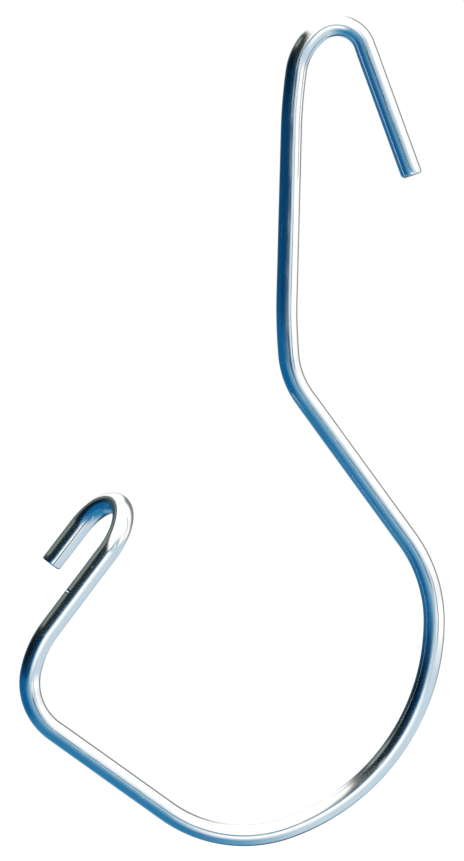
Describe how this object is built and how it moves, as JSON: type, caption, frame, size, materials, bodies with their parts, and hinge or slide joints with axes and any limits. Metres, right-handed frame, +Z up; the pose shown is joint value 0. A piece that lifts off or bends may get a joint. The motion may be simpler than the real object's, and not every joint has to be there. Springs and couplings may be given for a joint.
{
  "type": "meat hook",
  "caption": "Round stainless bar hook: narrow rail hook over a straight shank, wide offset bowl for the load, and a curl at the nose swung back out of plane.",
  "frame": {"origin": "seat on the rail: the highest point of the inside of the top bend, in the bar's middle plane", "axes": "+Z up as the hook hangs, +X from the shank towards the free leg of the rail hook, +Y to the back, the side that the curl is swung to; all but the curl lies in the XZ plane"},
  "size_m": [0.1603, 0.0378, 0.313],
  "materials": {
    "stainless_bar": "bright drawn bar, polished, with fine lines along its length"
  },
  "bodies": {
    "root": {"hook_rod": "stainless_bar"}
  },
  "joints": []
}
